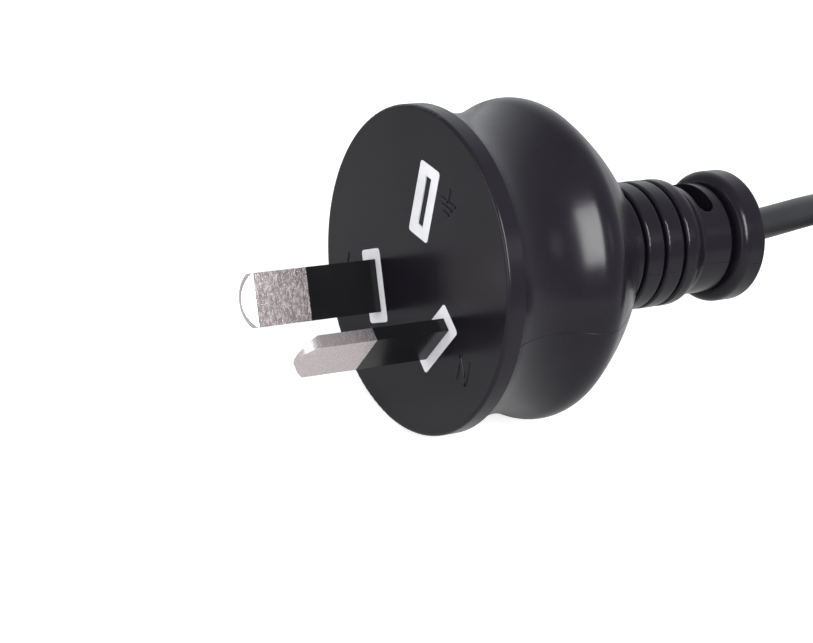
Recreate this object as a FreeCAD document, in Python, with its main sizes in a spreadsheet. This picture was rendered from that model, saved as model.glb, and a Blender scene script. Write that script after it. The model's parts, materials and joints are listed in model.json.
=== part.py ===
import FreeCAD, Part
import math
import os
import Sketcher

# Two-pin plug of the Australian type (type I), moulded in one piece onto its cord.
# Millimetres. +Z is up and the plug lies on its side: the pins point to -X, the cord leaves to +X.
# The origin is on the floor, under the middle of the plug's length from pin tips to collar.

V = FreeCAD.Vector
doc = FreeCAD.newDocument("TypeIPlug")
sheet = doc.addObject("Spreadsheet::Sheet", "Sizes")

# Driving dimensions. A depth is measured from the face towards the cord.
SIZES = [
    # pins
    ("pin_reach", 18.2),
    ("pin_width", 6.35),
    ("pin_thickness", 1.63),
    ("pin_circle", 7.92),
    ("pin_angle", 120.0),
    ("tip_depth", 1.6),
    ("tip_land", 0.6),
    ("sleeve_reach", 9.55),
    ("sleeve_side_wall", 0.5),
    ("sleeve_flat_wall", 0.3),
    ("shoulder_step", 0.2),
    ("shoulder_length", 1.2),
    ("tail_width", 2.4),
    ("tail_length", 1.8),
    ("barrel_wall", 0.95),
    ("barrel_length", 4.2),
    # white pin bridge
    ("plate_setback", 1.4),
    ("plate_thickness", 2.2),
    ("plate_margin", 1.6),
    ("frame_end_wall", 1.275),
    ("frame_side_wall", 1.21),
    ("frame_corner", 0.45),
    ("earth_site", 10.31),
    ("earth_slot_length", 6.06),
    ("earth_slot_width", 1.21),
    ("earth_slot_recess", 0.25),
    # moulded body
    ("rim_radius", 19.4),
    ("rim_edge", 0.4),
    ("rim_depth", 2.3),
    ("waist_depth", 8.0),
    ("waist_radius", 17.9),
    ("bulb_edge", 3.8),
    ("dome_arc", 40.0),
    ("relief_start", 27.2),
    ("relief_radius", 8.0),
    ("pin_group_drop", 1.37),
    # strain relief
    ("first_band", 1.6),
    ("groove_pitch", 3.1),
    ("groove_count", 3),
    ("groove_width", 0.45),
    ("groove_depth", 1.15),
    ("rib_edge", 0.4),
    ("lip_length", 1.25),
    ("blend_length", 2.7),
    ("neck_radius", 7.0),
    ("neck_length", 4.2),
    ("neck_edge", 0.3),
    ("collar_groove_width", 0.45),
    ("collar_groove_depth", 0.7),
    ("collar_radius", 8.38),
    ("collar_length", 3.95),
    ("collar_front_edge", 1.3),
    ("collar_back_edge", 0.6),
    ("window_setback", 0.05),
    ("window_width", 2.5),
    ("window_span", 8.0),
    ("window_wall", 2.3),
    # cord and its cores
    ("conductor_diameter", 1.1),
    ("core_wall", 0.3),
    ("core_gap", 0.1),
    ("sheath_wall", 0.35),
    ("bare_length", 0.6),
    ("core_straight", 5.0),
    ("sheath_inside", 16.8),
    ("core_gather", 3.0),
    # coil of spare cord, and its far end
    ("coil_middle_radius", 25.2),
    ("coil_rows", 3),
    ("coil_layers", 4),
    ("coil_edge", 1.6),
    ("coil_place_x", 96.5),
    ("coil_place_y", -12.1),
    ("coil_entry_angle", 85.0),
    ("tie_angle", 300.0),
    ("tie_turn", 9.0),
    ("tie_thickness", 0.5),
    ("sheath_end_angle", 225.0),
    ("notch_turn", 75.0),
    ("far_core_lead", 2.5),
    ("far_core_turn", 50.0),
    ("far_core_splay", 0.15),
    ("far_tip_length", 6.0),
]
for row, (alias, number) in enumerate(SIZES, start=1):
    sheet.set("A%d" % row, alias)
    sheet.set("B%d" % row, str(number))
    sheet.setAlias("B%d" % row, alias)
doc.recompute()


class Size:
    """A length: its formula in the sheet's names, and its value in millimetres."""

    def __init__(self, formula, value):
        self.formula = formula
        self.value = value

    def joined(self, sign, other, value):
        return Size("(%s %s %s)" % (self.formula, sign, other.formula), value)

    def __add__(self, other):
        return self.joined("+", other, self.value + other.value)

    def __sub__(self, other):
        return self.joined("-", other, self.value - other.value)

    def __mul__(self, number):
        return Size("(%s * %s)" % (self.formula, number), self.value * number)

    def __neg__(self):
        return self * -1


def size(alias):
    return Size("Sizes." + alias, float(getattr(sheet, alias)))


ZERO = Size("0", 0.0)


def bind(item, prop, length):
    item.setExpression(prop, length.formula)


# Values worked out from the driving dimensions

# Body, from the face to the end of the collar
axis_height = size("rim_radius")
pin_group_height = axis_height - size("pin_group_drop")
groove_first = size("relief_start") + size("first_band")
last_groove = groove_first + size("groove_pitch") * (int(sheet.groove_count) - 1)
lip_end = last_groove + size("groove_width") * 0.5 + size("lip_length")
neck_start = lip_end + size("blend_length")
neck_end = neck_start + size("neck_length")
collar_start = neck_end + size("collar_groove_width")
body_length = collar_start + size("collar_length")
face_x = (size("pin_reach") - body_length) * 0.5

# Pins and bridge
neck_width = size("pin_width") - size("sleeve_side_wall") * 2
neck_thickness = size("pin_thickness") - size("sleeve_flat_wall") * 2
frame_length = size("pin_width") + size("frame_end_wall") * 2
frame_width = size("pin_thickness") + size("frame_side_wall") * 2
bridge_back = size("plate_setback") + size("plate_thickness")
plate_radius = size("earth_site") - size("pin_group_drop") + frame_length * 0.5 + size("plate_margin")
shoulder_end = bridge_back + size("shoulder_length")
barrel_start = shoulder_end + size("tail_length")
barrel_end = barrel_start + size("barrel_length")

# Cord: two cores side by side in a round sheath
conductor_radius = size("conductor_diameter") * 0.5
barrel_radius = conductor_radius + size("barrel_wall")
core_radius = conductor_radius + size("core_wall")
core_offset = core_radius + size("core_gap") * 0.5
cord_radius = core_offset + core_radius + size("sheath_wall")
core_start = barrel_end + size("bare_length")
sheath_start = body_length - size("sheath_inside")


# Sketches

def new_body(label, place=None):
    body = doc.addObject("PartDesign::Body", label)
    body.Label = label
    if place is not None:
        body.Placement = place
    return body


def new_sketch(body, plane, name, offset=ZERO):
    base = next(item for item in body.Origin.OriginFeatures if item.Role == plane)
    sketch = body.newObject("Sketcher::SketchObject", name)
    sketch.AttachmentSupport = [(base, "")]
    sketch.MapMode = "FlatFace"
    if offset is not ZERO:
        bind(sketch, "AttachmentOffset.Base.z", offset)
    return sketch


def hold(sketch, geometry, point, x, y):
    """Ties one point of the sketch to its two distances from the sketch's origin."""
    for kind, length, axis in (("DistanceX", x, -2), ("DistanceY", y, -1)):
        if length is ZERO:
            sketch.addConstraint(Sketcher.Constraint("PointOnObject", geometry, point, axis))
        else:
            rule = Sketcher.Constraint(kind, -1, 1, geometry, point, length.value)
            number = sketch.addConstraint(rule)
            sketch.setExpression("Constraints[%d]" % number, length.formula)


def set_radius(sketch, geometry, radius):
    number = sketch.addConstraint(Sketcher.Constraint("Radius", geometry, radius.value))
    sketch.setExpression("Constraints[%d]" % number, radius.formula)


def point_of(corner):
    return V(corner[0].value, corner[1].value, 0)


def add_polygon(sketch, corners):
    """A closed outline of straight edges, with every corner held."""
    count = len(corners)
    for i in range(count):
        ends = point_of(corners[i]), point_of(corners[(i + 1) % count])
        sketch.addGeometry(Part.LineSegment(*ends), False)
    for i in range(count):
        sketch.addConstraint(Sketcher.Constraint("Coincident", i, 2, (i + 1) % count, 1))
        hold(sketch, i, 1, *corners[i])


def add_rectangle(sketch, x0, x1, y0, y1):
    add_polygon(sketch, [(x0, y0), (x1, y0), (x1, y1), (x0, y1)])


def add_centred_rectangle(sketch, width, thickness):
    add_rectangle(sketch, width * -0.5, width * 0.5, thickness * -0.5, thickness * 0.5)


def add_circle(sketch, radius):
    circle = sketch.addGeometry(Part.Circle(V(0, 0, 0), V(0, 0, 1), radius.value), False)
    sketch.addConstraint(Sketcher.Constraint("Coincident", circle, 3, -1, 1))
    set_radius(sketch, circle, radius)


def arc_about(centre, start, end):
    """The short arc from start to end about a centre, and the order of its ends in a sketch."""
    first = math.atan2(start.y - centre.y, start.x - centre.x)
    last = math.atan2(end.y - centre.y, end.x - centre.x)
    turn = (last - first + math.pi) % (2 * math.pi) - math.pi
    circle = Part.Circle(centre, V(0, 0, 1), (start - centre).Length)
    if turn > 0:
        return Part.ArcOfCircle(circle, first, first + turn), (1, 2)
    return Part.ArcOfCircle(circle, first + turn, first), (2, 1)


# Features

def finish_feature(feature, sketch, length=None):
    feature.Profile = sketch
    if length is not None:
        bind(feature, "Length", length)
    doc.recompute()
    return feature


def add_pad(body, sketch, length, centred=False):
    pad = body.newObject("PartDesign::Pad", sketch.Name + "_pad")
    pad.SideType = "Symmetric" if centred else "One side"
    return finish_feature(pad, sketch, length)


def add_pocket(body, sketch, length, centred=False, backwards=False):
    """A pocket that must take something away."""
    before = body.Shape.Volume
    pocket = body.newObject("PartDesign::Pocket", sketch.Name + "_pocket")
    pocket.SideType = "Symmetric" if centred else "One side"
    pocket.Reversed = backwards
    finish_feature(pocket, sketch, length)
    if body.Shape.Volume >= before:
        raise RuntimeError(sketch.Name + " cuts nothing")
    return pocket


def add_turned(body, sketch, kind):
    turned = body.newObject("PartDesign::" + kind, sketch.Name + "_" + kind.lower())
    turned.ReferenceAxis = (sketch, ["H_Axis"])
    return finish_feature(turned, sketch)


def add_fillet(body, base, radius, wanted):
    """Rounds the edges of a feature for which wanted(edge) is true."""
    names = ["Edge%d" % (i + 1) for i, edge in enumerate(base.Shape.Edges) if wanted(edge)]
    fillet = body.newObject("PartDesign::Fillet", base.Name + "_fillet")
    fillet.Base = (base, names)
    bind(fillet, "Radius", radius)
    doc.recompute()
    return fillet


def runs_along_x(edge):
    ends = edge.Vertexes
    return len(ends) == 2 and abs(abs((ends[1].Point - ends[0].Point).x) - edge.Length) < 1e-6


def combine(kind, label, base, others):
    """A boolean of whole objects: Cut takes others away, MultiFuse and MultiCommon join them."""
    item = doc.addObject("Part::" + kind, label)
    item.Label = label
    if kind == "Cut":
        item.Base = base
        item.Tool = others
    else:
        item.Shapes = [base] + others
    item.Refine = True
    doc.recompute()
    return item


def at_axis():
    return FreeCAD.Placement(V(face_x.value, 0, axis_height.value), FreeCAD.Rotation())


def at_pin(side, distance=size("pin_circle")):
    """A place on the pin circle. Its own Z points away from the pin group's middle."""
    angle = -side * sheet.pin_angle
    turn = FreeCAD.Rotation(V(1, 0, 0), angle)
    middle = V(face_x.value, 0, pin_group_height.value)
    return FreeCAD.Placement(middle + turn.multVec(V(0, 0, distance.value)), turn)


def tip_arc_radius(width, depth):
    return (width * width / 4 + depth * depth) / (2 * depth)


# Pins: blades stamped from brass, with a thin neck for the sleeve and a crimped barrel

def add_blade(body):
    """The live end of a blade: flat sides, a round tip and a bevel on each wide face."""
    half = size("pin_width") * 0.5
    front = -size("pin_reach")
    back = -size("sleeve_reach")
    shoulder = front + size("tip_depth")
    sketch = new_sketch(body, "XY_Plane", body.Name + "_blade")
    corners = [(shoulder, -half), (back, -half), (back, half), (shoulder, half)]
    for start, end in zip(corners, corners[1:]):
        sketch.addGeometry(Part.LineSegment(point_of(start), point_of(end)), False)
    tip = Part.Arc(point_of(corners[3]), V(front.value, 0, 0), point_of(corners[0]))
    sketch.addGeometry(tip, False)
    for i in range(3):
        hold(sketch, i, 1, *corners[i])
    hold(sketch, 2, 2, *corners[3])
    sketch.addConstraint(Sketcher.Constraint("Coincident", 0, 2, 1, 1))
    sketch.addConstraint(Sketcher.Constraint("Coincident", 1, 2, 2, 1))
    sketch.addConstraint(Sketcher.Constraint("Coincident", 2, 2, 3, 1))
    sketch.addConstraint(Sketcher.Constraint("Coincident", 3, 2, 0, 1))
    radius = tip_arc_radius(sheet.pin_width, sheet.tip_depth)
    formula = "(Sizes.pin_width^2 / 4 + Sizes.tip_depth^2) / (2 * Sizes.tip_depth)"
    set_radius(sketch, 3, Size(formula, radius))
    add_pad(body, sketch, size("pin_thickness"), centred=True)
    for sign, side in ((1, "upper"), (-1, "lower")):
        bevel = new_sketch(body, "XZ_Plane", "%s_%s_bevel" % (body.Name, side))
        face = size("pin_thickness") * 0.5 * sign
        land = size("tip_land") * 0.5 * sign
        add_polygon(bevel, [(shoulder, face), (front, face), (front, land)])
        add_pocket(body, bevel, size("pin_width"), centred=True)


def make_pin(label, side):
    body = new_body(label, at_pin(side))
    add_blade(body)
    neck = new_sketch(body, "XY_Plane", label + "_neck")
    add_rectangle(neck, -size("sleeve_reach"), bridge_back, neck_width * -0.5, neck_width * 0.5)
    add_pad(body, neck, neck_thickness, centred=True)
    shoulder = new_sketch(body, "XY_Plane", label + "_shoulder")
    half = size("pin_width") * 0.5 + size("shoulder_step")
    add_rectangle(shoulder, bridge_back, shoulder_end, -half, half)
    add_pad(body, shoulder, size("pin_thickness") + size("shoulder_step") * 2, centred=True)
    tail = new_sketch(body, "XY_Plane", label + "_tail")
    half = size("tail_width") * 0.5
    add_rectangle(tail, shoulder_end, barrel_start, -half, half)
    add_pad(body, tail, neck_thickness, centred=True)
    barrel = new_sketch(body, "YZ_Plane", label + "_barrel", barrel_start)
    add_circle(barrel, barrel_radius)
    add_pad(body, barrel, size("barrel_length"))
    bore = new_sketch(body, "YZ_Plane", label + "_bore", barrel_end)
    add_circle(bore, conductor_radius)
    add_pocket(body, bore, size("barrel_length"))
    return body


def make_bar(label, start, end, width, thickness, place, corner=None):
    """A straight bar along the plug's length, with its long edges rounded if asked."""
    body = new_body(label, place)
    sketch = new_sketch(body, "YZ_Plane", label + "_section", start)
    add_centred_rectangle(sketch, width, thickness)
    pad = add_pad(body, sketch, end - start)
    if corner is not None:
        add_fillet(body, pad, corner, runs_along_x)
    return body


def make_sleeve_block(name, place):
    """The whole block that a sleeve fills, which the bridge leaves open."""
    start = -size("sleeve_reach")
    return make_bar(name, start, bridge_back, size("pin_width"), size("pin_thickness"), place)


def make_sleeve(label, block, pin):
    return combine("Cut", label, block, pin)


# White bridge that holds the pins: a disc behind the face with three frames that reach the face

def earth_place():
    """The third site, above the two pins, with its long side upright."""
    height = pin_group_height + size("earth_site")
    turn = FreeCAD.Rotation(V(1, 0, 0), 90)
    return FreeCAD.Placement(V(face_x.value, 0, height.value), turn)


def make_disc(name, start, end, radius):
    body = new_body(name, at_axis())
    sketch = new_sketch(body, "YZ_Plane", name + "_section", start)
    add_circle(sketch, radius)
    add_pad(body, sketch, end - start)
    return body


def make_frame(name, place):
    middle = size("plate_setback") + size("plate_thickness") * 0.5
    return make_bar(name, ZERO, middle, frame_length, frame_width, place, size("frame_corner"))


def make_bridge(label, blocks):
    plate = make_disc("bridge_plate", size("plate_setback"), bridge_back, plate_radius)
    frames = [
        make_frame("active_frame", at_pin(1)),
        make_frame("neutral_frame", at_pin(-1)),
        make_frame("earth_frame", earth_place()),
    ]
    slot_size = size("earth_slot_length"), size("earth_slot_width")
    slot = make_bar("earth_slot", ZERO, bridge_back, *slot_size, earth_place())
    solid = combine("MultiFuse", "bridge_solid", plate, frames)
    openings = combine("MultiFuse", "bridge_openings", slot, blocks)
    return combine("Cut", label, solid, openings)


# Cords and cores: straight runs joined by arcs

def rounded_route(points):
    """Straight runs with an arc at each corner, as large as the two runs allow."""
    edges = []
    radii = []
    start = points[0]
    for before, corner, after in zip(points, points[1:], points[2:]):
        back = (before - corner).normalize()
        ahead = (after - corner).normalize()
        half_turn = (math.pi - back.getAngle(ahead)) / 2
        shorter = min(before.distanceToPoint(corner), after.distanceToPoint(corner))
        cut = 0.45 * shorter
        radius = cut / math.tan(half_turn)
        inward = (back + ahead).normalize()
        middle = corner + inward * (radius / math.cos(half_turn) - radius)
        edges.append(Part.LineSegment(start, corner + back * cut).toShape())
        edges.append(Part.Arc(corner + back * cut, middle, corner + ahead * cut).toShape())
        start = corner + ahead * cut
        radii.append(radius)
    edges.append(Part.LineSegment(start, points[-1]).toShape())
    return Part.Wire(edges), radii


def make_tube(label, points, radius):
    """A round solid along a route, whose volume must be its section times its length."""
    wire, radii = rounded_route(points)
    normal = points[1] - points[0]
    ring = Part.Wire([Part.Circle(points[0], normal, radius.value).toShape()])
    tube = doc.addObject("Part::Feature", label)
    tube.Label = label
    tube.Shape = wire.makePipeShell([ring], True, False)
    expected = math.pi * radius.value ** 2 * wire.Length
    if abs(tube.Shape.Volume / expected - 1) > 0.01:
        raise RuntimeError(label + " is not its section times its length")
    text = ", ".join("%.1f" % value for value in radii)
    print("%s: length %.1f, radii %s" % (label, wire.Length, text))
    return tube


def core_points(side):
    """From behind the crimp, in to the cord's middle, and along the cord to its exit."""
    start = at_pin(side).Base
    first = V(face_x.value + core_start.value, start.y, start.z)
    turn_in = first + V(sheet.core_straight, 0, 0)
    gather = face_x.value + sheath_start.value - sheet.core_gather
    exit_x = face_x.value + body_length.value
    inner = V(gather, side * core_offset.value, axis_height.value)
    return [first, turn_in, inner, V(exit_x, inner.y, inner.z)]


def make_core(name, side):
    """One core of the cord inside the plug: its copper, its whole outside, and its insulation."""
    points = core_points(side)
    copper_run = make_tube(name + "_copper_run", points, conductor_radius)
    place = at_pin(side)
    body = new_body(name + "_copper_end", place)
    sketch = new_sketch(body, "YZ_Plane", name + "_copper_section", barrel_start)
    add_circle(sketch, conductor_radius)
    add_pad(body, sketch, core_start - barrel_start)
    copper = combine("MultiFuse", name + "_conductor", body, [copper_run])
    outside = make_tube(name + "_core_outside", points, core_radius)
    insulation = combine("Cut", name + "_core", outside, copper)
    return copper, outside, insulation


def make_sheath(label, outsides):
    """The end of the cord's sheath inside the plug, around both cores."""
    solid = make_disc("sheath_outside", sheath_start, body_length, cord_radius)
    cores = combine("MultiFuse", "sheath_cores", outsides[0], [outsides[1]])
    return solid, combine("Cut", label, solid, cores)


# Moulded body

def add_body_profile(sketch):
    """Rim, waist, bulb, dome and strain relief, drawn from the face to the collar."""
    rim, edge = size("rim_radius"), size("rim_edge")
    rim_end = size("rim_depth")
    waist_fall = sheet.rim_radius - sheet.waist_radius
    waist_run = sheet.waist_depth - sheet.rim_depth
    waist_arc = (waist_run ** 2 + waist_fall ** 2) / (2 * waist_fall)
    formula = ("((Sizes.waist_depth - Sizes.rim_depth)^2 + (Sizes.rim_radius - Sizes.waist_radius)^2)"
               " / (2 * (Sizes.rim_radius - Sizes.waist_radius))")
    waist_centre = size("waist_depth"), size("waist_radius") + Size(formula, waist_arc)
    bulb_height = size("rim_radius") - size("bulb_edge")
    waist_middle = point_of(waist_centre)
    rise = waist_middle.y - bulb_height.value
    reach = waist_arc + sheet.bulb_edge
    bulb_middle = V(waist_middle.x + math.sqrt(reach ** 2 - rise ** 2), bulb_height.value, 0)
    waist_end = waist_middle + (bulb_middle - waist_middle) * (waist_arc / reach)
    foot = size("relief_start"), size("relief_radius")
    dome_middle = far_centre(bulb_middle, sheet.dome_arc - sheet.bulb_edge,
                             point_of(foot), sheet.dome_arc)
    outward = (bulb_middle - dome_middle).normalize()
    bulb_end = bulb_middle + outward * sheet.bulb_edge

    relief, neck, collar = size("relief_radius"), size("neck_radius"), size("collar_radius")
    groove_floor = neck - size("collar_groove_depth")
    front_edge, back_edge = size("collar_front_edge"), size("collar_back_edge")
    front, end = collar_start, body_length

    fall = relief.value - neck.value
    blend_radius = (sheet.blend_length ** 2 + fall ** 2) / (4 * fall)
    blend_middle = (lip_end + neck_start) * 0.5, (relief + neck) * 0.5

    pieces = []

    def line(start, finish):
        pieces.append((Part.LineSegment(start, finish), (1, 2)))

    def arc(centre, start, finish):
        pieces.append(arc_about(centre, start, finish))

    corners = [
        (ZERO, ZERO),
        (ZERO, rim - edge),
        (edge, rim),
        (rim_end, rim),
    ]
    line(point_of(corners[0]), point_of(corners[1]))
    arc(point_of((edge, rim - edge)), point_of(corners[1]), point_of(corners[2]))
    line(point_of(corners[2]), point_of(corners[3]))
    arc(waist_middle, point_of(corners[3]), waist_end)
    arc(bulb_middle, waist_end, bulb_end)
    arc(dome_middle, bulb_end, point_of(foot))
    lip, neck_front = (lip_end, relief), (neck_start, neck)
    line(point_of(foot), point_of(lip))
    arc(V(lip_end.value, relief.value - blend_radius, 0), point_of(lip), point_of(blend_middle))
    arc(V(neck_start.value, neck.value + blend_radius, 0), point_of(blend_middle), point_of(neck_front))
    steps = [
        neck_front,
        (neck_end, neck),
        (neck_end, groove_floor),
        (front, groove_floor),
        (front, collar - front_edge),
    ]
    for start, finish in zip(steps, steps[1:]):
        line(point_of(start), point_of(finish))
    collar_top = front + front_edge, collar
    collar_back = end - back_edge, collar
    collar_end = end, collar - back_edge
    arc(point_of((collar_top[0], steps[-1][1])), point_of(steps[-1]), point_of(collar_top))
    line(point_of(collar_top), point_of(collar_back))
    arc(point_of((collar_back[0], collar_end[1])), point_of(collar_back), point_of(collar_end))
    line(point_of(collar_end), V(end.value, 0, 0))
    line(V(end.value, 0, 0), V(0, 0, 0))

    numbers = [sketch.addGeometry(piece, False) for piece, ends in pieces]
    starts = [ends[0] for piece, ends in pieces]
    finishes = [ends[1] for piece, ends in pieces]
    rim_round, waist, bulb, dome, blend_out, blend_in, collar_front, collar_rear = 1, 3, 4, 5, 7, 8, 13, 15
    for i in range(len(pieces)):
        after = (i + 1) % len(pieces)
        kind = "Tangent" if i in (waist, bulb) else "Coincident"
        pair = numbers[i], finishes[i], numbers[after], starts[after]
        sketch.addConstraint(Sketcher.Constraint(kind, *pair))
    held = corners + [None, None, foot, lip, blend_middle] + steps
    held += [collar_top, collar_back, collar_end, (end, ZERO)]
    for i, corner in enumerate(held):
        if corner is not None:
            hold(sketch, numbers[i], starts[i], *corner)
    hold(sketch, numbers[waist], 3, *waist_centre)
    hold_height(sketch, numbers[bulb], bulb_height)
    for i, level_end in ((blend_out, starts[blend_out]), (blend_in, finishes[blend_in])):
        sketch.addConstraint(Sketcher.Constraint("Vertical", numbers[i], level_end, numbers[i], 3))
    set_radius(sketch, numbers[rim_round], edge)
    set_radius(sketch, numbers[bulb], size("bulb_edge"))
    set_radius(sketch, numbers[dome], size("dome_arc"))
    set_radius(sketch, numbers[collar_front], front_edge)
    set_radius(sketch, numbers[collar_rear], back_edge)


def hold_height(sketch, geometry, height):
    rule = Sketcher.Constraint("DistanceY", -1, 1, geometry, 3, height.value)
    number = sketch.addConstraint(rule)
    sketch.setExpression("Constraints[%d]" % number, height.formula)


def far_centre(first, first_radius, second, second_radius):
    """Where two circles cross, on the side away from the cord."""
    across = second - first
    apart = across.Length
    along = (first_radius ** 2 - second_radius ** 2 + apart ** 2) / (2 * apart)
    off = math.sqrt(first_radius ** 2 - along ** 2)
    unit = across / apart
    foot = first + unit * along
    crossings = [foot + V(-unit.y, unit.x, 0) * off, foot - V(-unit.y, unit.x, 0) * off]
    return min(crossings, key=lambda point: point.y)


def add_grooves(body):
    sketch = new_sketch(body, "XY_Plane", "rib_groove")
    half = size("groove_width") * 0.5
    floor = size("relief_radius") - size("groove_depth")
    outside = size("relief_radius") + size("groove_width")
    add_rectangle(sketch, groove_first - half, groove_first + half, floor, outside)
    groove = add_turned(body, sketch, "Groove")
    pattern = body.newObject("PartDesign::LinearPattern", "rib_grooves")
    pattern.Originals = [groove]
    pattern.Direction = (sketch, ["H_Axis"])
    pattern.setExpression("Length", "Sizes.groove_pitch * (Sizes.groove_count - 1)")
    pattern.setExpression("Occurrences", "Sizes.groove_count")
    body.Tip = pattern
    doc.recompute()
    return pattern


def add_windows(body):
    """A slot across the neck above, with round ends, and its mirror image below."""
    top = size("collar_radius")
    sketch = new_sketch(body, "XY_Plane", "neck_window", top)
    half_width = size("window_width") * 0.5
    reach = size("window_span") * 0.5 - half_width
    left = neck_start + size("window_setback")
    middle, right = left + half_width, left + size("window_width")
    corners = [(right, -reach), (right, reach), (left, reach), (left, -reach)]
    pieces = [
        Part.LineSegment(point_of(corners[0]), point_of(corners[1])),
        half_circle(middle, reach, half_width, 0),
        Part.LineSegment(point_of(corners[2]), point_of(corners[3])),
        half_circle(middle, -reach, half_width, math.pi),
    ]
    for piece in pieces:
        sketch.addGeometry(piece, False)
    for i in range(4):
        sketch.addConstraint(Sketcher.Constraint("Coincident", i, 2, (i + 1) % 4, 1))
        hold(sketch, i, 1, *corners[i])
    hold_height(sketch, 1, reach)
    hold_height(sketch, 3, -reach)
    pocket = add_pocket(body, sketch, top - cord_radius - size("window_wall"))
    mirror = body.newObject("PartDesign::Mirrored", "neck_windows")
    mirror.Originals = [pocket]
    plane = next(item for item in body.Origin.OriginFeatures if item.Role == "XY_Plane")
    mirror.MirrorPlane = (plane, [""])
    body.Tip = mirror
    doc.recompute()


def half_circle(x, y, radius, start):
    circle = Part.Circle(V(x.value, y.value, 0), V(0, 0, 1), radius.value)
    return Part.ArcOfCircle(circle, start, start + math.pi)


def rings_between(radius, first, last):
    """A test for the round edges of one radius that lie between two depths."""
    def wanted(edge):
        curve = edge.Curve
        if curve.TypeId != "Part::GeomCircle" or abs(curve.Radius - radius.value) > 1e-6:
            return False
        return first.value < curve.Center.x < last.value
    return wanted


def make_plug_blank():
    body = new_body("plug_blank", at_axis())
    sketch = new_sketch(body, "XY_Plane", "plug_profile")
    add_body_profile(sketch)
    add_turned(body, sketch, "Revolution")
    ribs = add_grooves(body)
    rib_edges = rings_between(size("relief_radius"), groove_first - size("groove_width"),
                              last_groove + size("groove_width"))
    ribs = add_fillet(body, ribs, size("rib_edge"), rib_edges)
    neck_edges = rings_between(size("neck_radius"), neck_start + size("neck_edge"), collar_start)
    add_fillet(body, ribs, size("neck_edge"), neck_edges)
    add_windows(body)
    return body


def make_recess():
    """The shallow dip in the black filling of the third frame's slot."""
    slot_size = size("earth_slot_length"), size("earth_slot_width")
    return make_bar("earth_slot_recess_block", ZERO, size("earth_slot_recess"), *slot_size, earth_place())


# Coil of spare cord, its tie and the bare end

coil_step = cord_radius * 2
coil_base = size("tie_thickness")
coil_centre = V(sheet.coil_place_x, sheet.coil_place_y, 0)


def coil_ring_radius(row):
    """The middle of one turn: row 0 is the inner one."""
    middle = (int(sheet.coil_rows) - 1) / 2
    return size("coil_middle_radius") + coil_step * (row - middle)


def make_coil(label):
    """The wound turns as one ring, with a notch in its top outer row past the sheath's end."""
    inside, outside, top = coil_section()
    start = sheet.sheath_end_angle - sheet.notch_turn
    turn = FreeCAD.Rotation(V(0, 0, 1), start)
    body = new_body(label, FreeCAD.Placement(coil_centre, turn))
    sketch = new_sketch(body, "XZ_Plane", "coil_section")
    add_rectangle(sketch, inside, outside, coil_base, top)
    turned = body.newObject("PartDesign::Revolution", "coil_ring")
    turned.ReferenceAxis = (sketch, ["V_Axis"])
    finish_feature(turned, sketch)
    add_fillet(body, turned, size("coil_edge"), lambda edge: edge.BoundBox.ZLength < 1e-6)
    notch = new_sketch(body, "XZ_Plane", "coil_notch")
    add_rectangle(notch, outside - coil_step, outside + coil_step, top - coil_step, top + coil_step)
    before = body.Shape.Volume
    cut = body.newObject("PartDesign::Groove", "coil_notch_cut")
    cut.ReferenceAxis = (notch, ["V_Axis"])
    bind(cut, "Angle", size("notch_turn"))
    finish_feature(cut, notch)
    if body.Shape.Volume >= before:
        raise RuntimeError("the coil's notch cuts nothing")
    return body


def coil_section():
    """Inner radius, outer radius and top of the wound turns."""
    inside = coil_ring_radius(0) - cord_radius
    outside = coil_ring_radius(int(sheet.coil_rows) - 1) + cord_radius
    return inside, outside, coil_base + coil_step * int(sheet.coil_layers)


def make_tie(label):
    """A band around the coil's section."""
    inside, outside, top = coil_section()
    thickness = size("tie_thickness")
    edge = size("coil_edge")
    turn = size("tie_turn")
    window = make_band(label + "_window", turn * 1.5, edge, inside, outside, coil_base, top)
    block = make_band(label + "_block", turn, edge + thickness, inside - thickness,
                      outside + thickness, coil_base - thickness, top + thickness)
    return combine("Cut", label, block, window)


def make_band(label, turn, edge, inside, outside, bottom, top):
    """A short arc of a ring across the coil's section, with its four long edges rounded."""
    place = FreeCAD.Placement(coil_centre, FreeCAD.Rotation(V(0, 0, 1), sheet.tie_angle))
    body = new_body(label, place)
    sketch = new_sketch(body, "XZ_Plane", label + "_section")
    add_rectangle(sketch, inside, outside, bottom, top)
    band = body.newObject("PartDesign::Revolution", label + "_arc")
    band.ReferenceAxis = (sketch, ["V_Axis"])
    bind(band, "Angle", turn)
    band.Midplane = True
    finish_feature(band, sketch)
    add_fillet(body, band, edge, runs_around)
    return body


def runs_around(edge):
    """True for the edges that follow the coil's turns."""
    return edge.Curve.TypeId == "Part::GeomCircle"


def on_coil(angle, radius, height):
    """A point around the coil's middle."""
    turn = math.radians(angle)
    return coil_centre + V(radius * math.cos(turn), radius * math.sin(turn), height)


# The sheath ends in the outer row of the top layer
end_radius = coil_ring_radius(int(sheet.coil_rows) - 1).value
end_height = (coil_section()[2] - cord_radius).value

# Where the cord runs between the plug and its coil. The points are chosen by hand.
CORD_POINTS = [
    V(face_x.value + body_length.value, 0, axis_height.value),
    V(41.1, 1.0, 19.8),
    V(57.6, 4.2, 19.9),
    V(73.1, 9.6, 11.0),
    V(86.1, 15.2, 3.4),
    on_coil(sheet.coil_entry_angle, end_radius, coil_base.value + cord_radius.value),
]

# How far a bare core has sunk to the turns below, at each of its points
FAR_CORE_SINK = [0.0, 0.5, 1.0, 1.0, 1.0]


def make_cord(label, coil):
    tube = make_tube(label + "_whole", CORD_POINTS, cord_radius)
    return combine("Cut", label, tube, coil)


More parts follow.
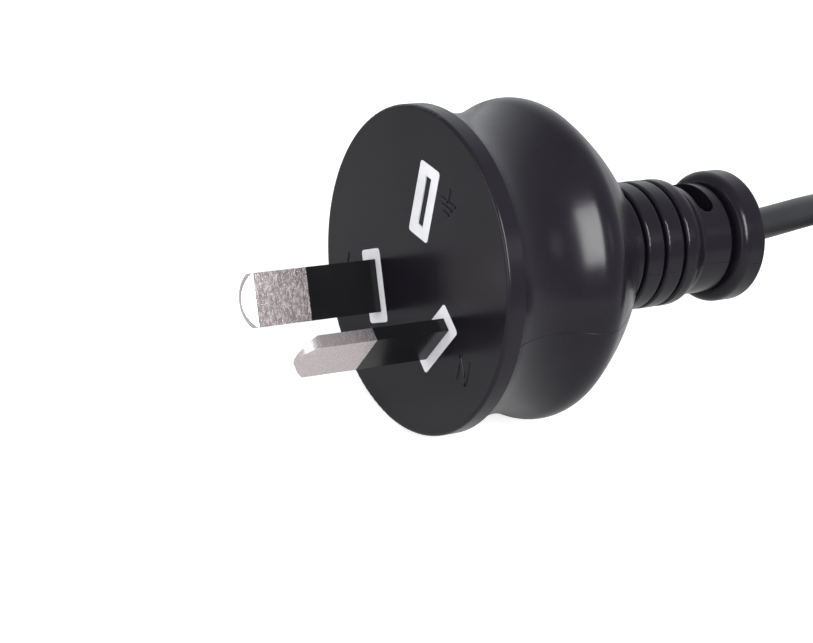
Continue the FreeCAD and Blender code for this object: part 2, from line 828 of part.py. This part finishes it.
def make_far_core(name, side):
    """One core past the end of the sheath: it sinks to the turns below, and its tip is tinned."""
    angle = sheet.sheath_end_angle
    radius = end_radius + side * core_offset.value
    start = on_coil(angle, radius, end_height)
    outward = (on_coil(angle, radius, 0) - coil_centre).normalize()
    ahead = V(outward.y, -outward.x, 0)
    step = sheet.far_core_turn / len(FAR_CORE_SINK)
    drop = cord_radius.value - core_radius.value
    points = [start, start + ahead * sheet.far_core_lead]
    for i, share in enumerate(FAR_CORE_SINK, start=1):
        splay = side * sheet.far_core_splay * i / len(FAR_CORE_SINK)
        lead_turn = math.degrees(sheet.far_core_lead / radius)
        points.append(on_coil(angle - lead_turn - step * i, radius + splay, end_height - drop * share))
    core = make_tube("far_%s_core" % name, points, core_radius)
    tip = doc.addObject("Part::Cylinder", "far_%s_tip" % name)
    bind(tip, "Radius", conductor_radius)
    bind(tip, "Height", size("far_tip_length"))
    way = points[-1] - points[-2]
    tip.Placement = FreeCAD.Placement(points[-1], FreeCAD.Rotation(V(0, 0, 1), way))
    return core, tip


plug_blank = make_plug_blank()
active_pin = make_pin("active_pin", 1)
neutral_pin = make_pin("neutral_pin", -1)
active_block = make_sleeve_block("active_sleeve_block", at_pin(1))
neutral_block = make_sleeve_block("neutral_sleeve_block", at_pin(-1))
active_sleeve = make_sleeve("active_pin_sleeve", active_block, active_pin)
neutral_sleeve = make_sleeve("neutral_pin_sleeve", neutral_block, neutral_pin)
bridge = make_bridge("pin_bridge", [active_block, neutral_block])
active_copper, active_outside, active_core = make_core("active", 1)
neutral_copper, neutral_outside, neutral_core = make_core("neutral", -1)
sheath_solid, sheath = make_sheath("cord_sheath_end", [active_outside, neutral_outside])

inner_pieces = [
    active_block, neutral_block, active_pin, neutral_pin, active_copper, neutral_copper,
    active_outside, neutral_outside, sheath_solid, make_recess(),
]
inner = combine("MultiFuse", "inner_pieces", bridge, inner_pieces)
plug_body = combine("Cut", "plug_body", plug_blank, inner)

coil = make_coil("cord_coil")
cord = make_cord("cord", coil)
tie = make_tie("coil_tie")
far_active_core, far_active_tip = make_far_core("active", 1)
far_neutral_core, far_neutral_tip = make_far_core("neutral", -1)

nodes = [
    plug_body, bridge, active_pin, neutral_pin, active_sleeve, neutral_sleeve,
    active_copper, neutral_copper, active_core, neutral_core, sheath, cord, coil, tie,
    far_active_core, far_neutral_core, far_active_tip, far_neutral_tip,
]

# Every object and every node's shape is checked before anything is written
doc.recompute()
for item in doc.Objects:
    if "Invalid" in item.State or "Error" in item.State:
        raise RuntimeError("%s failed: %s" % (item.Name, item.State))
os.makedirs("parts", exist_ok=True)
for node in nodes:
    shape = node.Shape
    if shape.isNull() or not shape.isValid() or len(shape.Solids) != 1:
        raise RuntimeError("%s is not one valid solid" % node.Label)
for node in nodes:
    node.Shape.exportStep("parts/%s.step" % node.Label)
    print("%-20s %10.2f mm3" % (node.Label, node.Shape.Volume))
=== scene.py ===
import json
import math

import bmesh
import bpy
from mathutils import Matrix, Vector


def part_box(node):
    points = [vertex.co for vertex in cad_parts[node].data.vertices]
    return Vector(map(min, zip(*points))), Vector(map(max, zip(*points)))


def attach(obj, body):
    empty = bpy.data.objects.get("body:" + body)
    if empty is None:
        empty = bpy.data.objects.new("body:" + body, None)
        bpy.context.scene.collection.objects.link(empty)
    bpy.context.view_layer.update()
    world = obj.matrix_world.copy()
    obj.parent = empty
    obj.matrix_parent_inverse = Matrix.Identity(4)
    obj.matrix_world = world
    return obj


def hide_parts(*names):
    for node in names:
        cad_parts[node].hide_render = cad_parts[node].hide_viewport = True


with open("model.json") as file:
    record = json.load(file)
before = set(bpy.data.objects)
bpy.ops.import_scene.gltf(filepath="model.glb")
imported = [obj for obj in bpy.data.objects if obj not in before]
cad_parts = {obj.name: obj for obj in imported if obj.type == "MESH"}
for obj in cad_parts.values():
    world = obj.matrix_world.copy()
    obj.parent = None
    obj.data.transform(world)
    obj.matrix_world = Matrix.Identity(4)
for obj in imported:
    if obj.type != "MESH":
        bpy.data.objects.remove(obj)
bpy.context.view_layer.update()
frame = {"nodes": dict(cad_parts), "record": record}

MM = 0.001
nodes = frame["nodes"]
scene = bpy.context.scene
scene.view_settings.view_transform = "Standard"

# Places of the plug in the row frame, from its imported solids
body_low, body_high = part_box("plug_body")
FACE_X = body_low[0]
COLLAR_X = body_high[0]
RIM_RADIUS = (body_high[1] - body_low[1]) / 2
AXIS_Z = body_low[2] + RIM_RADIUS

# The photograph's frame and the camera that took it
PHOTO_WIDTH = 813
FOCAL_PIXELS = 1970.9
SENSOR = 36.0
CAMERA_PLACE = Vector((-137.11, -168.12, 116.23)) * MM
CAMERA_AIM = Vector((-4.98, 12.59, 4.95)) * MM
CAMERA_ROLL = math.radians(10.33)


def make_camera():
    camera = bpy.data.objects.new("camera", bpy.data.cameras.new("camera"))
    scene.collection.objects.link(camera)
    camera.data.sensor_width = SENSOR
    camera.data.lens = FOCAL_PIXELS * SENSOR / PHOTO_WIDTH
    camera.data.clip_start = 0.01
    turn = (CAMERA_AIM - CAMERA_PLACE).to_track_quat("-Z", "Y").to_matrix().to_4x4()
    roll = Matrix.Rotation(CAMERA_ROLL, 4, "Z")
    camera.matrix_world = Matrix.Translation(CAMERA_PLACE) @ turn @ roll
    scene.camera = camera


make_camera()


# The cord: its free run, then the turns of its coil, clockwise from the entry angle.
# Angles are in degrees.
CORD_DIAMETER = 4.2 * MM
CORD_EXIT = (COLLAR_X, 0.0, AXIS_Z)
CORD_POINTS = [
    Vector(CORD_EXIT),
    Vector((41.1, 1.0, 19.8)) * MM,
    Vector((57.6, 4.2, 19.9)) * MM,
    Vector((73.1, 9.6, 11.0)) * MM,
    Vector((86.1, 15.2, 3.4)) * MM,
]
COIL_CENTRE = Vector((96.5, -12.1, 0.5)) * MM
COIL_MIDDLE_RADIUS = 25.2 * MM
COIL_ROWS = 3
COIL_LAYERS = 4
COIL_STEP = 15
ENTRY_ANGLE = 85

# Where the cord changes row in the first layer, how far round a change takes,
# and its last stretch
FIRST_CHANGE = 245
CHANGE_TURN = 50
LAST_TURN = 225


def smooth(value):
    value = min(max(value, 0.0), 1.0)
    return value * value * (3 - 2 * value)


def coil_changes():
    """Turn angle, rows gained and layers gained of each change, in order."""
    changes = []
    for layer in range(COIL_LAYERS):
        place = FIRST_CHANGE - 2 * CHANGE_TURN * layer
        inward = 1 if layer % 2 else -1
        for row in range(COIL_ROWS - 1):
            changes.append((360 * (COIL_ROWS * layer + row) + place, inward, 0))
        if layer < COIL_LAYERS - 1:
            last_row = 360 * (COIL_ROWS * layer + COIL_ROWS - 1)
            changes.append((last_row + place - CHANGE_TURN, 0, 1))
    return changes


def coil_points():
    """The turns, which lie beside and on each other a diameter apart."""
    changes = coil_changes()
    turned = changes[-1][0] + CHANGE_TURN + LAST_TURN
    outer = COIL_MIDDLE_RADIUS + CORD_DIAMETER * (COIL_ROWS - 1) / 2
    points = []
    for i in range(turned // COIL_STEP + 1):
        angle = i * COIL_STEP
        radius = outer
        height = CORD_DIAMETER / 2
        for start, rows, layers in changes:
            share = smooth((angle - start) / CHANGE_TURN)
            radius += rows * CORD_DIAMETER * share
            height += layers * CORD_DIAMETER * share
        place = math.radians(ENTRY_ANGLE - angle)
        across = Vector((radius * math.cos(place), radius * math.sin(place), height))
        points.append(COIL_CENTRE + across)
    return points


def make_lead():
    """The whole cord as one curve, whose points carry its radius."""
    curve = bpy.data.curves.new("lead", "CURVE")
    curve.dimensions = "3D"
    curve.resolution_u = 8
    curve.bevel_depth = 1.0
    curve.bevel_resolution = 6
    curve.use_fill_caps = True
    points = CORD_POINTS + coil_points()
    spline = curve.splines.new("NURBS")
    spline.points.add(len(points) - 1)
    for point, place in zip(spline.points, points):
        point.co = (*place, 1.0)
        point.radius = CORD_DIAMETER / 2
    spline.order_u = 3
    spline.use_endpoint_u = True
    lead = bpy.data.objects.new("lead", curve)
    scene.collection.objects.link(lead)
    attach(lead, "root")
    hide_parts("cord", "cord_coil")
    return lead


lead = make_lead()


# Shader nodes

class Shader:
    """A node material of a few named steps."""

    def __init__(self, name):
        self.material = bpy.data.materials.new(name)
        self.material.use_nodes = True
        self.tree = self.material.node_tree
        self.tree.nodes.clear()
        self.output = self.add("ShaderNodeOutputMaterial")
        self.place = self.add("ShaderNodeTexCoord").outputs["Object"]

    def add(self, kind, **settings):
        node = self.tree.nodes.new(kind)
        for name, value in settings.items():
            setattr(node, name, value)
        return node

    def join(self, source, target):
        self.tree.links.new(source, target)

    def surface(self, colour, roughness, metallic=0.0, specular=0.5):
        self.bsdf = self.add("ShaderNodeBsdfPrincipled")
        self.bsdf.inputs["Base Color"].default_value = (*colour, 1.0)
        self.bsdf.inputs["Roughness"].default_value = roughness
        self.bsdf.inputs["Metallic"].default_value = metallic
        self.bsdf.inputs["Specular IOR Level"].default_value = specular
        self.join(self.bsdf.outputs["BSDF"], self.output.inputs["Surface"])

    def noise(self, size, detail=3.0, rough=0.55, stretch=(1.0, 1.0, 1.0)):
        """Noise whose features are about size metres across."""
        mapping = self.add("ShaderNodeMapping")
        mapping.inputs["Scale"].default_value = stretch
        self.join(self.place, mapping.inputs["Vector"])
        noise = self.add("ShaderNodeTexNoise")
        noise.inputs["Scale"].default_value = 1.0 / size
        noise.inputs["Detail"].default_value = detail
        noise.inputs["Roughness"].default_value = rough
        self.join(mapping.outputs["Vector"], noise.inputs["Vector"])
        return noise.outputs["Fac"]

    def ramp(self, source, stops):
        ramp = self.add("ShaderNodeValToRGB")
        elements = ramp.color_ramp.elements
        while len(elements) < len(stops):
            elements.new(0.5)
        for element, (place, colour) in zip(elements, stops):
            element.position = place
            element.color = (*colour, 1.0)
        self.join(source, ramp.inputs["Fac"])
        return ramp.outputs["Color"]

    def levels(self, source, low, high, to_low, to_high):
        levels = self.add("ShaderNodeMapRange")
        levels.inputs["From Min"].default_value = low
        levels.inputs["From Max"].default_value = high
        levels.inputs["To Min"].default_value = to_low
        levels.inputs["To Max"].default_value = to_high
        self.join(source, levels.inputs["Value"])
        return levels.outputs["Result"]

    def bump(self, height, depth):
        """Bumps of that depth in metres, on top of those already there."""
        bump = self.add("ShaderNodeBump")
        bump.inputs["Strength"].default_value = 1.0
        bump.inputs["Distance"].default_value = depth
        self.join(height, bump.inputs["Height"])
        if self.bsdf.inputs["Normal"].is_linked:
            before = self.bsdf.inputs["Normal"].links[0].from_socket
            self.join(before, bump.inputs["Normal"])
        self.join(bump.outputs["Normal"], self.bsdf.inputs["Normal"])

    def soft_edges(self, radius):
        """Rounds the look of sharp edges."""
        bevel = self.add("ShaderNodeBevel", samples=6)
        bevel.inputs["Radius"].default_value = radius
        self.join(bevel.outputs["Normal"], self.bsdf.inputs["Normal"])


def moulded_plastic(name, colour, roughness, edge=0.12 * MM, specular=0.4):
    """Moulded plastic with a fine grain and slight flow marks."""
    shader = Shader(name)
    shader.surface(colour, roughness, specular=specular)
    shader.soft_edges(edge)
    darker = [part * 0.88 for part in colour]
    lighter = [part * 1.14 + 0.001 for part in colour]
    flow = shader.ramp(shader.noise(9 * MM, 4.0, 0.6), [(0.3, darker), (0.7, lighter)])
    shader.join(flow, shader.bsdf.inputs["Base Color"])
    wear = shader.noise(2.5 * MM, 5.0, 0.65)
    gloss = shader.levels(wear, 0.3, 0.7, roughness * 0.9, roughness * 1.12)
    shader.join(gloss, shader.bsdf.inputs["Roughness"])
    shader.bump(shader.noise(0.22 * MM, 2.0), 0.004 * MM)
    return shader.material


# Stretches noise across the pins' wide faces, which lie along X
ACROSS_PIN = (1.0, 0.5, 0.5)


def stamped_metal(name, colour, roughness, mottle, grain):
    """Plated sheet metal with the short grains of its rolling."""
    shader = Shader(name)
    shader.surface(colour, roughness, metallic=1.0)
    shader.soft_edges(0.05 * MM)
    darker = [part * (1 - mottle) for part in colour]
    lighter = [min(part * (1 + mottle * 0.4), 0.95) for part in colour]
    blotch = shader.noise(0.5 * MM, 6.0, 0.75, ACROSS_PIN)
    tone = shader.ramp(blotch, [(0.35, darker), (0.62, lighter)])
    shader.join(tone, shader.bsdf.inputs["Base Color"])
    wear = shader.noise(0.3 * MM, 4.0, 0.7, ACROSS_PIN)
    gloss = shader.levels(wear, 0.3, 0.7, roughness * 0.7, roughness * 1.4)
    shader.join(gloss, shader.bsdf.inputs["Roughness"])
    shader.bump(shader.noise(0.9 * MM, 2.0, 0.6), grain * 0.4)
    shader.bump(shader.noise(0.3 * MM, 4.0, 0.8, ACROSS_PIN), grain)
    return shader.material


def bare_strands(name, colour, roughness):
    """Twisted copper strands, with painted shade in the grooves between them."""
    shader = Shader(name)
    shader.surface(colour, roughness, metallic=1.0)
    wave = shader.add("ShaderNodeTexWave", wave_type="BANDS", bands_direction="DIAGONAL")
    wave.inputs["Scale"].default_value = 1.0 / (2.2 * MM)
    shader.join(shader.place, wave.inputs["Vector"])
    shader.bump(wave.outputs["Fac"], 0.08 * MM)
    # Painted shade: the low parts of the bump, the grooves between strands, are coloured darker
    darker = [part * 0.55 for part in colour]
    tone = shader.ramp(wave.outputs["Fac"], [(0.1, darker), (0.6, colour)])
    shader.join(tone, shader.bsdf.inputs["Base Color"])
    return shader.material


def cord_sheath(name, colour, roughness):
    """Extruded sheath: smooth, with faint dull bands where it was handled."""
    shader = Shader(name)
    shader.surface(colour, roughness)
    band = shader.noise(7 * MM, 3.0, 0.6)
    darker = [part * 0.85 for part in colour]
    lighter = [part * 1.2 for part in colour]
    tone = shader.ramp(band, [(0.3, darker), (0.7, lighter)])
    shader.join(tone, shader.bsdf.inputs["Base Color"])
    gloss = shader.levels(band, 0.3, 0.7, roughness * 0.85, roughness * 1.2)
    shader.join(gloss, shader.bsdf.inputs["Roughness"])
    shader.bump(shader.noise(0.3 * MM, 3.0), 0.004 * MM)
    return shader.material


MATERIALS = {
    "black_pvc": moulded_plastic("black_pvc", (0.0085, 0.0071, 0.0105), 0.21, specular=0.22),
    "white_plastic": moulded_plastic("white_plastic", (0.81, 0.805, 0.83), 0.5, 0.05 * MM),
    "plated_brass": stamped_metal("plated_brass", (0.67, 0.595, 0.60), 0.24, 0.03, 0.024 * MM),
    "black_sleeve": moulded_plastic("black_sleeve", (0.006, 0.006, 0.007), 0.18, 0.06 * MM, 0.2),
    "copper": bare_strands("copper", (0.85, 0.43, 0.25), 0.3),
    "brown_pvc": cord_sheath("brown_pvc", (0.13, 0.05, 0.022), 0.35),
    "blue_pvc": cord_sheath("blue_pvc", (0.02, 0.10, 0.35), 0.35),
    "cord_pvc": cord_sheath("cord_pvc", (0.016, 0.016, 0.018), 0.36),
    "tie_plastic": moulded_plastic("tie_plastic", (0.02, 0.02, 0.021), 0.45),
    "tinned_copper": bare_strands("tinned_copper", (0.66, 0.66, 0.64), 0.3),
}


def set_material(piece, slot):
    if piece.data.materials:
        for i in range(len(piece.data.materials)):
            piece.data.materials[i] = MATERIALS[slot]
            piece.material_slots[i].material = MATERIALS[slot]
    else:
        piece.data.materials.append(MATERIALS[slot])


def dress_cad_nodes():
    for part in frame["record"]["subparts"]:
        node = nodes[part["node"]]
        if not node.material_slots:
            node.data.materials.append(None)
        for material_slot in node.material_slots:
            material_slot.link = "OBJECT"
            material_slot.material = MATERIALS[part["material_slot"]]


dress_cad_nodes()
set_material(lead, "cord_pvc")


# Small moulded marks on the face, as strokes of a raised line

STROKE = 0.42 * MM
MARK_HEIGHT = 0.12 * MM
MARK_DEPTH = 0.05 * MM
TOP_SHARE = 0.6


def face_point(across, up):
    """A point of the face: across runs to the right for someone who looks at the pins."""
    return Vector((FACE_X, -across * MM, up * MM))


# The corners of each face of a stroke, in the order that add_stroke makes them
BOX_FACES = (
    (0, 1, 3, 2), (4, 6, 7, 5), (0, 4, 5, 1), (2, 3, 7, 6), (0, 2, 6, 4), (1, 5, 7, 3),
)


def add_stroke(mesh, start, end):
    """A raised line with a flat top, sunk slightly into the face."""
    along = (end - start).normalized()
    out = Vector((-1, 0, 0))
    side = along.cross(out) * STROKE / 2
    start = start - along * STROKE / 2
    end = end + along * STROKE / 2
    corners = []
    for height, share in ((-MARK_DEPTH, 1.0), (MARK_HEIGHT, TOP_SHARE)):
        for end_point in (start, end):
            for sign in (-1, 1):
                corners.append(mesh.verts.new(end_point + out * height + side * sign * share))
    for face in BOX_FACES:
        mesh.faces.new([corners[i] for i in face])


# Each mark: the centre of its place on the face and the strokes round it, in millimetres
FACE_MARKS = {
    "letter_l": (
        (-12.7, 13.8),
        [((-0.8, 1.3), (-0.8, -1.3)), ((-0.8, -1.3), (0.85, -1.3))],
    ),
    "letter_n": (
        (13.11, 13.29),
        [((-0.9, -1.3), (-0.9, 1.3)), ((-0.9, 1.3), (0.9, -1.3)), ((0.9, -1.3), (0.9, 1.3))],
    ),
    "earth_symbol": (
        (4.49, 30.23),
        [
            ((0.0, 1.4), (0.0, 0.1)),
            ((-1.3, 0.1), (1.3, 0.1)),
            ((-0.8, -0.6), (0.8, -0.6)),
            ((-0.35, -1.3), (0.35, -1.3)),
        ],
    ),
}


def new_piece(name, mesh, slot):
    data = bpy.data.meshes.new(name)
    bmesh.ops.recalc_face_normals(mesh, faces=mesh.faces)
    mesh.to_mesh(data)
    mesh.free()
    piece = bpy.data.objects.new(name, data)
    scene.collection.objects.link(piece)
    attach(piece, "root")
    set_material(piece, slot)
    return piece


def make_face_marks():
    for name, (centre, strokes) in FACE_MARKS.items():
        mesh = bmesh.new()
        for start, end in strokes:
            points = [face_point(centre[0] + across, centre[1] + up) for across, up in (start, end)]
            add_stroke(mesh, *points)
        new_piece(name, mesh, "black_pvc")


make_face_marks()


# The mould's parting line, on both sides of the body at the height of its axis

LINE_WIDTH = 0.16 * MM
LINE_RISE = 0.02 * MM
LINE_STEP = 0.4 * MM
STEEPEST = 1.6
FOOT_SHARE = 1.4
CREST_SHARE = 0.4


def surface_point(x, side):
    """Where the body's surface lies at x on that side, on the plane of the parting line."""
    start = Vector((x, side * RIM_RADIUS * 2, AXIS_Z))
    hit, place = nodes["plug_body"].ray_cast(start, Vector((0, -side, 0)))[:2]
    return place if hit else None


def line_runs(side):
    """The stretches of the line, broken at steps such as the ribs' grooves."""
    runs = [[]]
    count = int((COLLAR_X - FACE_X) / LINE_STEP)
    for i in range(1, count):
        point = surface_point(FACE_X + i * LINE_STEP, side)
        last = runs[-1][-1] if runs[-1] else None
        if point is None or (last and abs(point.y - last.y) > STEEPEST * LINE_STEP):
            runs.append([])
        if point is not None:
            runs[-1].append(point)
    return [run for run in runs if len(run) > 3]


def make_parting_line(side, name):
    """A low ridge along each run of the line, wider at its foot than at its crest."""
    mesh = bmesh.new()
    for run in line_runs(side):
        rows = []
        for i, point in enumerate(run):
            along = (run[min(i + 1, len(run) - 1)] - run[max(i - 1, 0)]).normalized()
            out = Vector((-along.y, along.x, 0)) * side
            if out.y * side < 0:
                out = -out
            up = Vector((0, 0, LINE_WIDTH / 2))
            rows.append([
                mesh.verts.new(point - out * LINE_RISE + up * FOOT_SHARE),
                mesh.verts.new(point + out * LINE_RISE + up * CREST_SHARE),
                mesh.verts.new(point + out * LINE_RISE - up * CREST_SHARE),
                mesh.verts.new(point - out * LINE_RISE - up * FOOT_SHARE),
            ])
        for before, after in zip(rows, rows[1:]):
            for i in range(4):
                mesh.faces.new([before[i], before[(i + 1) % 4], after[(i + 1) % 4], after[i]])
        mesh.faces.new(rows[0])
        mesh.faces.new(rows[-1])
    new_piece(name, mesh, "black_pvc")


make_parting_line(1, "parting_line_left")
make_parting_line(-1, "parting_line_right")


# Floor and surroundings, white in the picture

def for_rays(tree, shares):
    """A number for each ray: the sum of the shares of the kinds that it is of."""
    path = tree.nodes.new("ShaderNodeLightPath")
    total = None
    for kind, share in shares.items():
        add = tree.nodes.new("ShaderNodeMath")
        add.operation = "MULTIPLY_ADD"
        tree.links.new(path.outputs[kind], add.inputs[0])
        add.inputs[1].default_value = share
        add.inputs[2].default_value = 0.0
        if total:
            tree.links.new(total, add.inputs[2])
        total = add.outputs["Value"]
    return total


FLOOR_SIZE = 1.6
FLOOR_GREY = 0.5
FLOOR_GLOW = {"Is Camera Ray": 0.8, "Is Glossy Ray": 0.1, "Is Transmission Ray": 0.8}

# The backdrop: which way its bright side lies, its strength away from there and there,
# and over which cosines of the angle it fades
BACKDROP_TOWARD = (0.47, 0.88, 0.07)
BACKDROP_DIM = 0.5
BACKDROP_BRIGHT = 1.0
BACKDROP_FADE = (0.45, 0.95)
BACKDROP_COLOUR = (0.93, 0.96, 1.0, 1.0)
WHITE = (1.0, 1.0, 1.0, 1.0)
WHITE_RAYS = {"Is Camera Ray": 1.0, "Is Transmission Ray": 1.0}


def make_floor():
    """A grey floor whose glow only the camera and mirrors see, so that a faint shadow stays."""
    bpy.ops.mesh.primitive_plane_add(size=FLOOR_SIZE)
    floor = bpy.context.object
    floor.name = "floor"
    shader = Shader("floor")
    diffuse = shader.add("ShaderNodeBsdfDiffuse")
    diffuse.inputs["Color"].default_value = (FLOOR_GREY, FLOOR_GREY, FLOOR_GREY, 1.0)
    glow = shader.add("ShaderNodeEmission")
    shader.join(for_rays(shader.tree, FLOOR_GLOW), glow.inputs["Strength"])
    both = shader.add("ShaderNodeAddShader")
    shader.join(diffuse.outputs["BSDF"], both.inputs[0])
    shader.join(glow.outputs["Emission"], both.inputs[1])
    shader.join(both.outputs["Shader"], shader.output.inputs["Surface"])
    floor.data.materials.append(shader.material)


def make_surroundings():
    """A dim room with a bright backdrop on one side, and plain white for the camera."""
    world = bpy.data.worlds.new("studio")
    world.use_nodes = True
    tree = world.node_tree
    tree.nodes.clear()
    place = tree.nodes.new("ShaderNodeTexCoord")
    facing = tree.nodes.new("ShaderNodeVectorMath")
    facing.operation = "DOT_PRODUCT"
    facing.inputs[1].default_value = Vector(BACKDROP_TOWARD).normalized()
    fade = tree.nodes.new("ShaderNodeMapRange")
    fade.interpolation_type = "SMOOTHSTEP"
    fade.inputs["From Min"].default_value, fade.inputs["From Max"].default_value = BACKDROP_FADE
    fade.inputs["To Min"].default_value = BACKDROP_DIM
    fade.inputs["To Max"].default_value = BACKDROP_BRIGHT
    background = tree.nodes.new("ShaderNodeBackground")
    background.inputs["Color"].default_value = BACKDROP_COLOUR
    plain = tree.nodes.new("ShaderNodeBackground")
    plain.inputs["Color"].default_value = WHITE
    mix = tree.nodes.new("ShaderNodeMixShader")
    output = tree.nodes.new("ShaderNodeOutputWorld")
    tree.links.new(place.outputs["Generated"], facing.inputs[0])
    tree.links.new(facing.outputs["Value"], fade.inputs["Value"])
    tree.links.new(fade.outputs["Result"], background.inputs["Strength"])
    tree.links.new(for_rays(tree, WHITE_RAYS), mix.inputs["Fac"])
    tree.links.new(background.outputs["Background"], mix.inputs[1])
    tree.links.new(plain.outputs["Background"], mix.inputs[2])
    tree.links.new(mix.outputs["Shader"], output.inputs["Surface"])
    scene.world = world


def add_softbox(name, compass, height, distance, size, brightness):
    """A rectangular lamp that faces the plug, seen from it at two angles in degrees."""
    lamp = bpy.data.lights.new(name, "AREA")
    lamp.shape = "RECTANGLE"
    lamp.size, lamp.size_y = size
    lamp.energy = brightness * math.pi * size[0] * size[1]
    softbox = bpy.data.objects.new(name, lamp)
    scene.collection.objects.link(softbox)
    level = math.cos(math.radians(height))
    away = Vector((
        level * math.cos(math.radians(compass)),
        level * math.sin(math.radians(compass)),
        math.sin(math.radians(height)),
    ))
    turn = (-away).to_track_quat("-Z", "Y").to_matrix().to_4x4()
    softbox.matrix_world = Matrix.Translation(PLUG_CENTRE + away * distance) @ turn


PLUG_CENTRE = Vector((0.005, 0.0, AXIS_Z))
make_floor()
make_surroundings()
add_softbox("key", -175, 13, 0.6, (0.7, 0.35), 2.25)
add_softbox("fill", -50, 30, 0.5, (0.12, 0.12), 1.1)
add_softbox("side", -98, 39, 0.5, (0.18, 0.33), 18.0)

bpy.context.view_layer.update()
